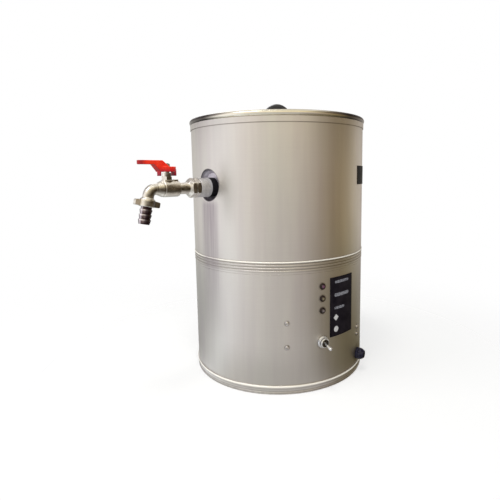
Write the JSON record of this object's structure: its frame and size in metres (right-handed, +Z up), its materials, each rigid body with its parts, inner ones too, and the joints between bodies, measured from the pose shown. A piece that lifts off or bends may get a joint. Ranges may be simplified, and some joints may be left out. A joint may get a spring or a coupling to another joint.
{
  "type": "electric water boiler",
  "caption": "Round steel countertop electric water boiler with a lift-off lid, a lever tap with a hose tail on its side, and a control plate with lamps and a toggle switch.",
  "frame": {"origin": "centre of the foot ring, on the worktop", "axes": "+Z up, -Y the control plate side, -X the way the tap points"},
  "size_m": [0.4243, 0.3372, 0.4613],
  "materials": {
    "casing_steel": "satin brushed stainless steel",
    "rim_steel": "polished stainless steel",
    "tank_steel": "smooth stainless steel, lightly limed",
    "socket_steel": "pressed stainless steel",
    "black_rubber": "matt moulded rubber",
    "grey_spacer": "matt turned",
    "tap_nickel": "nickel-plated brass casting",
    "lever_red": "gloss red coating",
    "screw_steel": "bright plated steel",
    "black_plastic": "glossy moulded plastic",
    "gland_plastic": "matt moulded nylon",
    "panel_film": "dark printed film",
    "lens_purple": "clear tinted lens",
    "lens_amber": "clear tinted lens",
    "lens_clear": "smoked clear lens"
  },
  "bodies": {
    "housing": {"base_ring": "casing_steel", "base_plate": "casing_steel", "lower_casing": "casing_steel", "upper_casing": "casing_steel", "mouth_ring": "rim_steel", "inner_tank": "tank_steel", "tank_floor": "tank_steel", "overflow_column": "tank_steel", "column_collar": "tank_steel", "column_cap": "tank_steel", "tank_socket": "socket_steel", "tap_cup": "socket_steel", "tap_seal": "black_rubber", "tap_spacer": "grey_spacer", "tap_locknut": "tap_nickel", "tap_body": "tap_nickel", "tap_spout": "tap_nickel", "union_nut": "tap_nickel", "hose_tail": "tap_nickel", "packing_nut": "tap_nickel", "lamp_bezels": "black_plastic", "lamp_lens_top": "lens_purple", "lamp_lens_middle": "lens_amber", "lamp_lens_bottom": "lens_clear", "control_plate": "panel_film", "nameplate": "panel_film", "switch_washer": "screw_steel", "switch_nut": "screw_steel", "switch_bush": "screw_steel", "switch_ring": "screw_steel", "gland_body": "gland_plastic", "gland_nut": "gland_plastic", "gland_seal": "black_rubber", "casing_screws": "screw_steel", "inlet_pipe": "screw_steel", "inlet_nut": "screw_steel"},
    "lid": {"lid_disc": "rim_steel", "lid_ring": "tank_steel", "lid_knob": "black_plastic", "knob_screw": "screw_steel"},
    "tap_handle": {"tap_lever": "lever_red", "tap_stem": "tap_nickel", "lever_nut": "screw_steel", "valve_ball": "screw_steel"},
    "switch_bat": {"switch_lever": "screw_steel"}
  },
  "joints": [
    {"name": "lid_lift", "type": "slide", "parent": "housing", "child": "lid", "axis": [0, 0, 1], "range_m": [0, 0.12]},
    {"name": "tap_lever_turn", "type": "hinge", "parent": "housing", "child": "tap_handle", "pos_m": [-0.221, 0, 0.3475], "axis": [0, 0, 1], "range_deg": [-90, 0]},
    {"name": "switch_flip", "type": "hinge", "parent": "housing", "child": "switch_bat", "pos_m": [-0.04492, -0.1473, 0.0777], "axis": [-0.9565, 0.2917, 0], "range_deg": [0, 23]}
  ]
}
